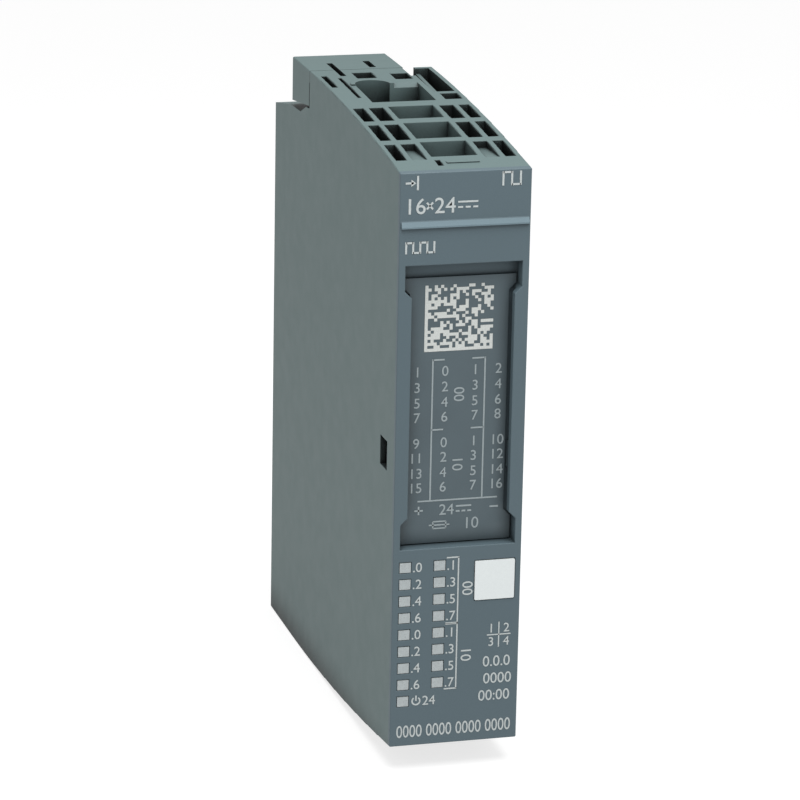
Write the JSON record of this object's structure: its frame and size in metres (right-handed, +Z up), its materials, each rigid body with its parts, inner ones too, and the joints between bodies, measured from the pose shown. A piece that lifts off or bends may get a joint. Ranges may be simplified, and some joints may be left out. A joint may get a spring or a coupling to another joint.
{
  "type": "plug-in input module",
  "caption": "Slim plug-in input module with arched vented roof, stepped rear with release levers, front recess with wiring label, status windows and rear blade contacts.",
  "frame": {"origin": "centre of the flat rear seat face that meets the base unit", "axes": "+Y out of the rear, towards the base unit; +Z up along the long side; +X across the slim width, to the right seen from the front"},
  "size_m": [0.015, 0.0583, 0.073],
  "materials": {
    "hood_plastic": "fine moulded texture, dark greenish grey",
    "cover_plastic": "fine moulded texture, dark bluish grey",
    "label_film": "satin printed film",
    "tag_white": "matt white",
    "light_guide": "frosted, translucent, unlit",
    "board_green": "solder mask",
    "package_black": "moulded epoxy",
    "print_ink": "pad print, pale grey",
    "gold_contact": "gold flashed",
    "carrier_black": "glass filled, matt",
    "base_plastic": "fine moulded texture, dark grey",
    "chip_ceramic": "ceramic body",
    "led_body": "white housing",
    "ferrite": "sintered, matt",
    "copper_winding": "enamelled copper",
    "can_aluminium": "bright drawn",
    "key_plastic": "pale grey moulded"
  },
  "bodies": {
    "module": {"housing_hood": "hood_plastic", "front_cover": "cover_plastic", "wiring_label": "label_film", "colour_tag": "tag_white", "channel_light_guide": "light_guide", "power_light_guide": "light_guide", "display_board": "board_green", "status_leds": "led_body", "board_link_header": "carrier_black", "main_board": "board_green", "optocouplers": "package_black", "bus_controller": "package_black", "microcontroller": "package_black", "memory_chip": "package_black", "quartz_crystal": "can_aluminium", "voltage_regulator": "package_black", "supply_fuse": "chip_ceramic", "power_inductor": "ferrite", "isolation_transformer": "ferrite", "transformer_winding": "copper_winding", "buffer_capacitors": "can_aluminium", "surge_diodes": "package_black", "input_resistors": "chip_ceramic", "filter_capacitors": "chip_ceramic", "process_contacts": "gold_contact", "supply_contacts": "gold_contact", "contact_carrier": "carrier_black", "bus_contacts": "gold_contact", "bus_contact_carrier": "carrier_black", "rear_connector_base": "base_plastic", "coding_key_holder": "carrier_black"},
    "top_lever": {"top_release_lever": "hood_plastic"},
    "bottom_lever": {"bottom_release_lever": "hood_plastic"},
    "key": {"coding_key": "key_plastic"}
  },
  "joints": [
    {"name": "top_release", "type": "hinge", "parent": "module", "child": "top_lever", "pos_m": [0, -0.0158, 0.0334], "axis": [-1, 0, 0], "range_deg": [0, 4], "stiffness_Nm_per_rad": 0.06},
    {"name": "bottom_release", "type": "hinge", "parent": "module", "child": "bottom_lever", "pos_m": [0, -0.0158, -0.0334], "axis": [1, 0, 0], "range_deg": [0, 4], "stiffness_Nm_per_rad": 0.06},
    {"name": "key_pull", "type": "slide", "parent": "module", "child": "key", "axis": [0, 1, 0], "range_m": [0, 0.006]}
  ]
}
